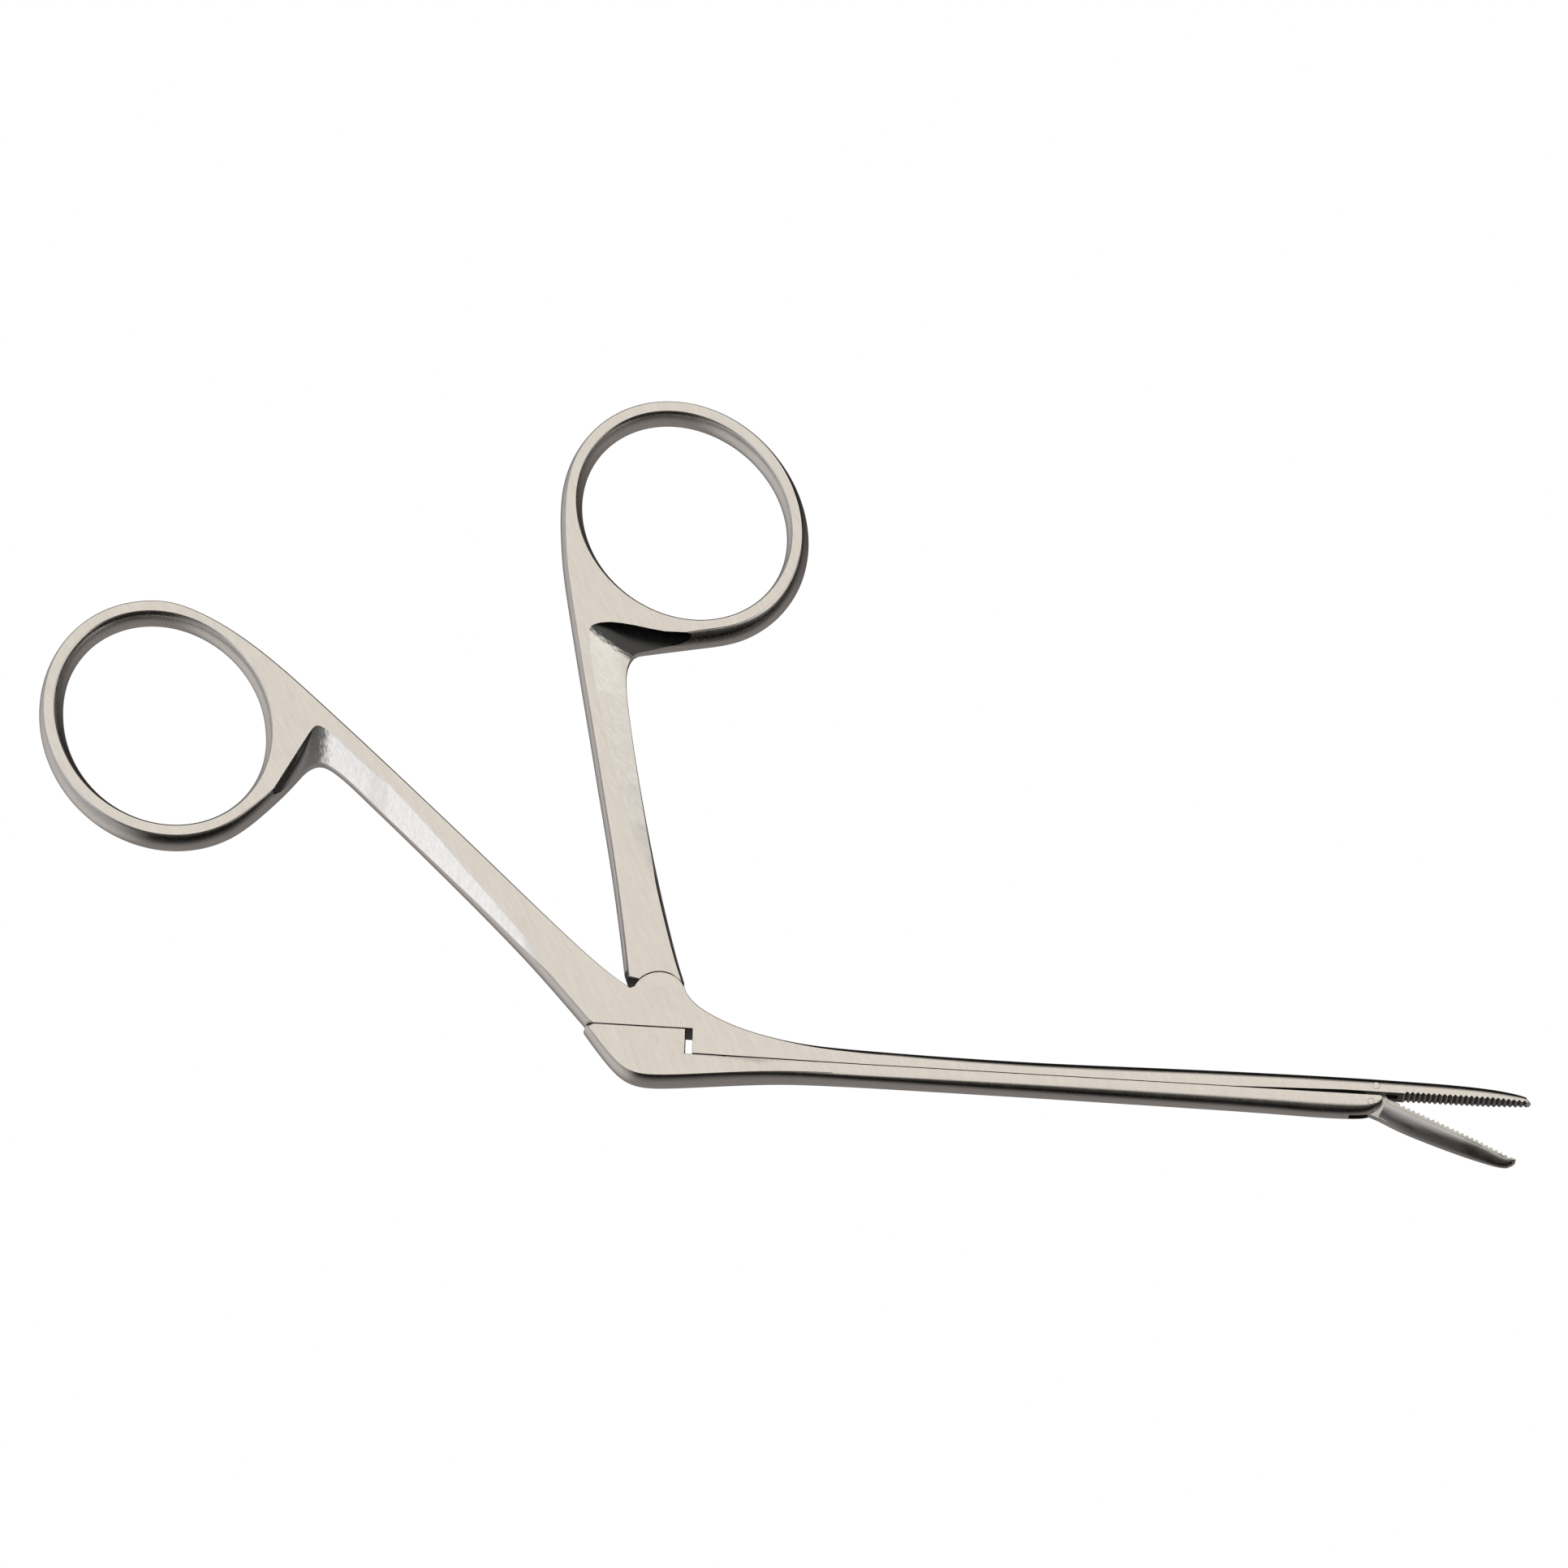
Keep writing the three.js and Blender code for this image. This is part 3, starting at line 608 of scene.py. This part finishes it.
# ---- front handle with its tongue ----
def front_handle():
    side = bend([
        [2.15, 1.95, 0.25],
        [1.26, 4.3, 0.28],
        [-0.77, 10.9, 0.3],
        [-2.55, 17.5, 0.32],
        [-4.15, 24.2, 0.34],
        [-5.4, 30.2, 0.36],
        [-5.85, 33.4, 0.36],
        [-5.75, 35.2, 0.4],
        [-5.1, 36.5, 0.5],
        [-3.8, 37.1, 0.7],
        [-2.0, 37.7, 0.95],
        *ring_arc(FRONT_RING, RING_BAND, 146, 405, 14, FRONT_RING["outer"]),
        [-12.55, 47.5, 0.42],
        [-12.1, 44.3, 0.4],
        [-11.4, 40.9, 0.4],
        [-9.9, 34.1, 0.4],
        [-8.35, 27.3, 0.4],
        [-6.85, 20.6, 0.4],
        [-5.35, 13.9, 0.38],
        [-4.05, 7.3, 0.36],
        [-3.15, 2.3, 0.36],
    ])
    arc = circle_arc(LOBE_RADIUS + LOBE_CLEARANCE, 139, 66, 40)
    outline = np.vstack([arc, [[2.2, 1.8, 0.1]], side, [[-3.1, 2.02, 0.2]]])
    hole = ring_arc(FRONT_RING, 0, 360, 0, 160, FRONT_RING["inner"])[1:]
    piece = plate("handle_steel", steel, outline, [hole], handle_half, crisp)
    # Painted shade: the handle's lower shoulders get the near-black steel.
    paint_shade_on_walls(piece, lambda at, n: at.y < 2.9 and n.y < -0.2)
    # The hollow's grind marks are the steel's own; the dark heel is painted shade.
    for cutter in hollows((-10.4, 10.1), (1.6, 39.4), front_facet, front_heel, slanting_marks_and_heel_shade):
        combine(piece, cutter, "DIFFERENCE")
    eye = prism(circle(2.05, CIRCLE_SIDES), MID - TONGUE_HALF, MID + TONGUE_HALF)
    root_outline = [(-2.0, 0), (1.9, 0), (1.5, 3.6), (0.4, 5), (-2.4, 5), (-2.35, 2)]
    root = prism(root_outline, MID - TONGUE_HALF, MID + TONGUE_HALF)
    tilt = math.atan2(DRIVE_PIN["x"], -DRIVE_PIN["y"])
    tang_outline = [
        (x * math.cos(tilt) - y * math.sin(tilt), x * math.sin(tilt) + y * math.cos(tilt))
        for x, y in [(-0.8, 0), (-0.8, -4.5), (-0.55, -5.0), (0.55, -5.0), (0.8, -4.5), (0.8, 0)]
    ]
    tang = prism(tang_outline, MID - TONGUE_HALF, MID + TONGUE_HALF)
    # The tongue takes the near-black steel as painted shade inside its slot.
    for part in (eye, root, tang):
        combine(piece, part, "UNION", painted_shade_steel)
    combine(piece, bore((0, 0), HANDLE_PIN["radius"] + RUNNING_GAP), "DIFFERENCE", steel)
    for reach in (0, DRIVE_SLOT):
        centre = (DRIVE_PIN["x"], DRIVE_PIN["y"] - reach)
        combine(piece, bore(centre, DRIVE_PIN["radius"] + RUNNING_GAP), "DIFFERENCE", steel)
    return piece


# ---- slide rod ----
def slide_rod():
    wall = bend([
        [-6.85, -3.2, 0.35],
        [-5.4, -4.95, 0.4],
        [-3.6, -6.86, 0.45],
        [-2.3, -7.6, 0.58],
        [-0.85, -7.82, 0.7],
        [1.2, -7.76, 0.7],
        [4, -7.5, 0.68],
        [8, -7.06, 0.68],
        [12, -6.68, 0.7],
        [16, -6.5, 0.74],
        [22, -6.36, 0.84],
        [30, -6.24, 0.98],
        [40, -6.13, 1.14],
        [60, -6.1, 1.3],
        [68.3, -6.12, 1.34],
        [69.9, -6.1, 0.95],
        [70.5, -5.98, 0.42],
        [70.74, -5.76, 0.15],
        [70.66, -5.56, 0.05],
        [70.45, SEAM_SHAFT - SEAM_GAP, 0],
    ])
    outline = np.vstack([
        [[STEP_X - STEP_GAP, SEAM_REAR - SEAM_GAP, 0], [-6.3, SEAM_REAR - SEAM_GAP, 0]],
        wall,
        [[x, SEAM_SHAFT - SEAM_GAP, 0] for x in (62, 38, 20, STEP_X + 0.1 - STEP_GAP)],
    ])
    piece = plate("rod_steel", steel, outline, [], rod_half, round_along_shaft)
    # Painted shade: the rod's walls that face the seam get the near-black steel.
    paint_shade_on_walls(piece, lambda at, n: at.y > -5.7 and (n.y > 0.5 or n.x > 0.9))
    # The pocket, fork, nick and pin rings cut below take the near-black steel as painted shade.
    tang_pocket = [(-1.5, -5.35), (0.85, -5.35), (0.85, -2), (-1.5, -2)]
    combine(piece, prism(tang_pocket, MID - SLOT_HALF, MID + SLOT_HALF), "DIFFERENCE", painted_shade_steel)
    combine(piece, box(67.6, 72, -8, -4, FORK_HALF), "DIFFERENCE", painted_shade_steel)
    combine(piece, bore((ROD_NICK["x"], ROD_NICK["y"]), ROD_NICK["radius"]), "DIFFERENCE", painted_shade_steel)
    for pin, line in ((DRIVE_PIN, PIN_LINE), (LINK_PIN, JAW_PIN_LINE)):
        combine(piece, bore((pin["x"], pin["y"]), pin["radius"] + line), "DIFFERENCE", painted_shade_steel)
    return piece


# ---- lower jaw, drawn closed about the jaw pivot and then opened ----
def lower_jaw():
    wall = bend([
        [72.0, -5.62, 1.62],
        [74, -5.62, 1.7],
        [77, -5.58, 1.6],
        [80, -5.54, 1.4],
        [82.5, -5.48, 1.17],
        [84.5, -5.44, 0.83],
        [85.25, -5.4, 0.42],
    ])
    outline = np.vstack([
        [[71.75, -5.2, 0], [71.7, -5.62, 1.6]],
        wall,
        [[85.35, LOWER_TEETH["line"], 0]],
        [[x, LOWER_TEETH["line"], 0] for x in (81, 77, LOWER_TEETH["start"] - 0.1)],
    ])
    piece = plate("lower_jaw_steel", jaw_steel, outline, [], jaw_half, crisp)
    web = prism([
        (70.1, -3.88), (69.6, -4.1), (69.48, -4.6), (69.45, -6.3), (69.75, -6.9), (70.6, -7.12),
        (72.6, -7.05), (72.6, -5.3), (72.2, -5.3), (70.75, -4.4), (70.6, -4.05),
    ], MID - KNUCKLE_HALF, MID + KNUCKLE_HALF)
    combine(piece, web, "UNION", jaw_steel)
    # The jaw's teeth take the near-black steel as painted shade.
    combine(piece, grooves(LOWER_TEETH, -1), "DIFFERENCE", painted_shade_steel)
    pivot = Vector((JAW_PIN["x"], JAW_PIN["y"]))
    link = Vector((LINK_PIN["x"], LINK_PIN["y"])) - pivot
    link.rotate(Matrix.Rotation(JAW_OPEN, 2))
    combine(piece, bore(pivot, JAW_PIN["radius"] + RUNNING_GAP), "DIFFERENCE", steel)
    combine(piece, bore(pivot + link, LINK_PIN["radius"] + LINK_GAP), "DIFFERENCE", steel)
    centre = Vector(joints["jaw_pivot"]["pos_m"])
    turn = Matrix.Translation(centre) @ Matrix.Rotation(-JAW_OPEN, 4, "Z") @ Matrix.Translation(-centre)
    piece.data.transform(turn)
    return piece


# ---- pins: ground flush, so that only the small ones at the jaws still show a faint ring ----
def turned_pin(name, pin, break_size):
    profile = [(0, 0), (0.5, 0), (1 - 0.4 * break_size / pin["radius"], 0), (1, -break_size)]
    rings = [(share, pin["high"] + FLUSH + rise) for share, rise in profile]
    rings += [(share, pin["low"] - FLUSH - rise) for share, rise in reversed(profile)]
    vertices = [(pin["x"], pin["y"], rings[0][1])]
    for share, z in rings[1:-1]:
        loop = circle(pin["radius"] * share, PIN_SIDES, (pin["x"], pin["y"]))
        vertices += [(x, y, z) for x, y, _ in loop]
    vertices.append((pin["x"], pin["y"], rings[-1][1]))
    last = len(vertices) - 1
    faces = [(0, 1 + i, 1 + (i + 1) % PIN_SIDES) for i in range(PIN_SIDES)]
    faces += bands(1, len(rings) - 3, PIN_SIDES)
    start = last - PIN_SIDES
    faces += [(last, start + (i + 1) % PIN_SIDES, start + i) for i in range(PIN_SIDES)]
    return new_object(name, vertices, faces)


# ---- materials ----
def satin_steel(name, colour, roughness, grain_angle, shade=None):
    """Ground and tumbled stainless steel: fine grind lines and faint clouds.

    A painted shade darkens the steel past a line across the outlines, broken up by streaks: the shade in a
    hollow's heel. It holds the angle of the direction it darkens in, the place along it where the darkness is
    half, its width, and the dark colour.
    """
    material = bpy.data.materials.new(name)
    material.use_nodes = True
    nodes = material.node_tree.nodes
    link = material.node_tree.links.new
    shader = nodes["Principled BSDF"]
    shader.inputs["Metallic"].default_value = 1.0
    place = nodes.new("ShaderNodeTexCoord")

    def noise(scale, detail, stretch, angle):
        turned = nodes.new("ShaderNodeMapping")
        turned.inputs["Rotation"].default_value = (0, 0, angle)
        stretched = nodes.new("ShaderNodeMapping")
        stretched.inputs["Scale"].default_value = (1, stretch, stretch)
        texture = nodes.new("ShaderNodeTexNoise")
        texture.inputs["Scale"].default_value = scale
        texture.inputs["Detail"].default_value = detail
        link(place.outputs["Object"], turned.inputs["Vector"])
        link(turned.outputs["Vector"], stretched.inputs["Vector"])
        link(stretched.outputs["Vector"], texture.inputs["Vector"])
        return texture.outputs["Fac"]

    def spread(value, low, high):
        remap = nodes.new("ShaderNodeMapRange")
        remap.inputs["From Min"].default_value = 0.3
        remap.inputs["From Max"].default_value = 0.7
        remap.inputs["To Min"].default_value = low
        remap.inputs["To Max"].default_value = high
        link(value, remap.inputs["Value"])
        return remap.outputs["Result"]

    def math_node(operation, first, second):
        node = nodes.new("ShaderNodeMath")
        node.operation = operation
        link(first, node.inputs[0])
        if isinstance(second, float):
            node.inputs[1].default_value = second
        else:
            link(second, node.inputs[1])
        return node.outputs["Value"]

    fine = noise(500, 1, 14, grain_angle)
    coarse = noise(220, 1, 12, grain_angle + 0.12)
    clouds = noise(900, 3, 1, 0)
    patches = noise(130, 2, 1, 0)

    lines = math_node("ADD", math_node("MULTIPLY", fine, 0.6), math_node("MULTIPLY", coarse, 0.4))
    marks = math_node("ADD", math_node("MULTIPLY", clouds, 0.6), math_node("MULTIPLY", patches, 0.4))
    tone = nodes.new("ShaderNodeMix")
    tone.data_type = "RGBA"
    tone.inputs["A"].default_value = (*[c * 0.96 for c in colour], 1)
    tone.inputs["B"].default_value = (*[min(c * 1.03, 1) for c in colour], 1)
    link(spread(marks, 0.0, 1.0), tone.inputs["Factor"])
    shaded = nodes.new("ShaderNodeMix")
    shaded.data_type = "RGBA"
    shaded.blend_type = "MULTIPLY"
    shaded.inputs["B"].default_value = (0.86, 0.85, 0.84, 1)
    link(tone.outputs["Result"], shaded.inputs["A"])
    link(spread(lines, 0.0, 0.5), shaded.inputs["Factor"])
    if shade:
        angle, middle, width, dark = shade
        across = Vector((math.cos(angle), math.sin(angle), 0))
        along = nodes.new("ShaderNodeVectorMath")
        along.operation = "DOT_PRODUCT"
        along.inputs[1].default_value = across
        link(place.outputs["Object"], along.inputs[0])
        start = middle * MM + across.dot(Vector((PIVOT.x, PIVOT.y, 0)))
        streaks = noise(90, 2, 50, grain_angle)
        ragged = 0.35 * width * MM
        broken = math_node("ADD", along.outputs["Value"], spread(streaks, -ragged, ragged))
        edge = nodes.new("ShaderNodeMapRange")
        edge.interpolation_type = "SMOOTHSTEP"
        edge.inputs["From Min"].default_value = start - width * MM / 2
        edge.inputs["From Max"].default_value = start + width * MM / 2
        link(broken, edge.inputs["Value"])
        darkened = nodes.new("ShaderNodeMix")
        darkened.data_type = "RGBA"
        darkened.inputs["B"].default_value = (*dark, 1)
        link(edge.outputs["Result"], darkened.inputs["Factor"])
        link(shaded.outputs["Result"], darkened.inputs["A"])
        shaded = darkened
    link(shaded.outputs["Result"], shader.inputs["Base Color"])

    uneven = math_node("ADD", spread(lines, -0.05, 0.05), spread(marks, -0.03, 0.03))
    link(math_node("ADD", uneven, roughness), shader.inputs["Roughness"])

    bump = nodes.new("ShaderNodeBump")
    bump.inputs["Strength"].default_value = 0.12
    bump.inputs["Distance"].default_value = 0.000012
    link(lines, bump.inputs["Height"])
    link(bump.outputs["Normal"], shader.inputs["Normal"])
    return material


STEEL = (0.72, 0.69, 0.65)
JAW_STEEL = (0.54, 0.525, 0.505)
# The colour of painted shade in seams, gaps, slots, grooves and pin rings.
PAINTED_SHADE_STEEL = (0.09, 0.085, 0.08)


def dress(piece, body, node, material):
    """Gives a piece its normals and any material it lacks, and puts it on its body in its node's place."""
    if not piece.data.materials:
        piece.data.materials.append(material)
    piece.data.shade_smooth()
    piece.data.set_sharp_from_angle(angle=SHARP_ANGLE)
    normals = piece.modifiers.new("normals", "WEIGHTED_NORMAL")
    normals.keep_sharp = True
    normals.weight = 100
    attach(piece, body)
    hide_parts(node)


# ---- camera, floor and light ----
def add_camera():
    """A long lens 20 degrees off the face's normal, turned a little about the normal."""
    target = Vector((10.73, 23.69, 1.6)) * MM + Vector((PIVOT.x, PIVOT.y, 0))
    distance = 0.85
    elevation = math.radians(70)
    turn = Matrix.Rotation(math.radians(3.55), 3, "Z")
    right = turn @ Vector((1, 0, 0))
    back = turn @ Vector((0, -math.cos(elevation), math.sin(elevation)))
    up = back.cross(right)
    data = bpy.data.cameras.new("camera")
    data.lens = 198
    data.sensor_width = 36
    data.clip_start = 0.01
    camera = bpy.data.objects.new("camera", data)
    axes = Matrix((right, up, back)).transposed().to_4x4()
    camera.matrix_world = Matrix.Translation(target + back * distance) @ axes
    bpy.context.scene.collection.objects.link(camera)
    bpy.context.scene.camera = camera


def add_floor():
    """A pale floor that sweeps up all round, lit from within; the steel reflects the room instead of it."""
    sweep = [(2.6, 2.4), (2.6, 0.9), (2.45, 0.4), (2.1, 0.1), (1.6, 0)]
    places = []
    for radius, height in sweep:
        places += [(x, y, height) for x, y, _ in circle(radius, CIRCLE_SIDES)]
    quads = bands(0, len(sweep) - 1, CIRCLE_SIDES)
    inner = len(places) - CIRCLE_SIDES
    quads.append(tuple(range(inner, inner + CIRCLE_SIDES)))
    mesh = bpy.data.meshes.new("floor")
    mesh.from_pydata(places, [], quads)
    mesh.shade_smooth()
    floor = bpy.data.objects.new("floor", mesh)
    floor.location.z = -0.02 * MM
    bpy.context.scene.collection.objects.link(floor)
    material = bpy.data.materials.new("floor")
    material.use_nodes = True
    shader = material.node_tree.nodes["Principled BSDF"]
    shader.inputs["Base Color"].default_value = (0, 0, 0, 1)
    shader.inputs["Roughness"].default_value = 1.0
    shader.inputs["Specular IOR Level"].default_value = 0.0
    shader.inputs["Emission Color"].default_value = (1, 1, 1, 1)
    shader.inputs["Emission Strength"].default_value = 1.0
    mesh.materials.append(material)
    floor.visible_glossy = False


def add_room():
    """A studio dome: a broad warm light overhead, a cool one on the left, and dark round the horizon."""
    world = bpy.data.worlds.new("room")
    bpy.context.scene.world = world
    world.use_nodes = True
    nodes = world.node_tree.nodes
    link = world.node_tree.links.new
    direction = nodes.new("ShaderNodeTexCoord")
    parts = nodes.new("ShaderNodeSeparateXYZ")
    link(direction.outputs["Generated"], parts.inputs["Vector"])

    def ramp(axis, stops):
        """A value or colour that changes along one axis of the direction."""
        remap = nodes.new("ShaderNodeMapRange")
        remap.inputs["From Min"].default_value = -1
        remap.inputs["From Max"].default_value = 1
        link(parts.outputs[axis], remap.inputs["Value"])
        colours = nodes.new("ShaderNodeValToRGB")
        elements = colours.color_ramp.elements
        while len(elements) < len(stops):
            elements.new(0.5)
        for element, (at, level) in zip(elements, stops):
            element.position = (at + 1) / 2
            element.color = (*level, 1) if isinstance(level, tuple) else (level, level, level, 1)
        link(remap.outputs["Result"], colours.inputs["Fac"])
        return colours.outputs["Color"]

    def blend(kind, first, second):
        mixed = nodes.new("ShaderNodeMix")
        mixed.data_type = "RGBA"
        mixed.blend_type = kind
        mixed.inputs["Factor"].default_value = 1
        link(first, mixed.inputs["A"])
        link(second, mixed.inputs["B"])
        return mixed.outputs["Result"]

    above = blend(
        "MULTIPLY",
        ramp("Z", [(-1, 0), (0.2, 0.01), (0.35, 0.25), (0.5, 0.75), (0.7, 1), (1, 1)]),
        ramp("Y", [
            (-1, 0.05),
            (-0.62, 0.05),
            (-0.5, 0.4),
            (-0.38, 0.95),
            (0, 1),
            (0.55, 1),
            (0.8, 0.3),
            (0.95, 0.03),
        ]),
    )
    tint = ramp("X", [
        (-1, (0.9, 0.93, 0.98)),
        (-0.6, (0.86, 0.89, 0.94)),
        (-0.4, (0.6, 0.605, 0.62)),
        (-0.15, (0.64, 0.615, 0.575)),
        (0.15, (0.64, 0.61, 0.57)),
        (0.4, (0.6, 0.595, 0.575)),
        (0.65, (0.86, 0.845, 0.815)),
        (1, (0.92, 0.905, 0.875)),
    ])
    below = blend(
        "MULTIPLY",
        ramp("Z", [
            (-1, (0.17, 0.157, 0.155)),
            (-0.5, (0.165, 0.153, 0.15)),
            (-0.3, (0.1, 0.094, 0.092)),
            (-0.15, 0.035),
            (0, 0.008),
            (0.15, 0),
        ]),
        ramp("Y", [(-1, 1), (-0.2, 1), (0.3, 0.5), (0.6, 0.1), (1, 0.05)]),
    )
    left = blend(
        "MULTIPLY",
        ramp("X", [(-1, (0.33, 0.33, 0.34)), (-0.6, (0.28, 0.275, 0.275)), (-0.3, 0), (1, 0)]),
        ramp("Z", [(-1, 0.8), (0.3, 1), (0.6, 0), (1, 0)]),
    )
    colour = blend("ADD", blend("ADD", blend("MULTIPLY", above, tint), below), left)
    background = nodes["Background"]
    link(colour, background.inputs["Color"])
    background.inputs["Strength"].default_value = 1.6


bpy.context.scene.view_settings.view_transform = "Standard"
add_camera()
add_floor()
add_room()

steel = satin_steel("satin_steel", STEEL, 0.24, math.radians(58))
# Near-black steel painted where shade falls: seams, slots, teeth, tongue and pin rings.
painted_shade_steel = satin_steel("painted_shade_steel", PAINTED_SHADE_STEEL, 0.42, math.radians(10))
# Painted shade: the hollows' heels are darkened in the colour, past a line beside each ring.
rear_shade = (math.pi, 34.6, 1.5, (0.13, 0.13, 0.13))
front_shade = (math.radians(60), 28.2, 0.7, (0.06, 0.06, 0.06))
upright_marks_and_heel_shade = satin_steel("upright_wheel_marks_and_painted_shade", STEEL, 0.24, math.radians(90), rear_shade)
slanting_marks_and_heel_shade = satin_steel("slanting_wheel_marks_and_painted_shade", STEEL, 0.24, math.radians(30), front_shade)
jaw_steel = satin_steel("jaw_steel", JAW_STEEL, 0.26, math.radians(22))
pin_steel = satin_steel("pin_steel", STEEL, 0.26, math.radians(58))
dress(main_frame(), "frame", "main_frame", steel)
dress(front_handle(), "handle", "front_handle", steel)
dress(slide_rod(), "rod", "slide_rod", steel)
dress(lower_jaw(), "jaw", "lower_jaw", steel)
for name, pin, break_size, body in (
    ("handle_pivot", HANDLE_PIN, 0.002, "frame"),
    ("drive", DRIVE_PIN, 0.002, "rod"),
    ("jaw_pivot", JAW_PIN, 0.03, "frame"),
    ("jaw_link", LINK_PIN, 0.03, "rod"),
):
    dress(turned_pin(name, pin, break_size), body, name + "_pin", pin_steel)
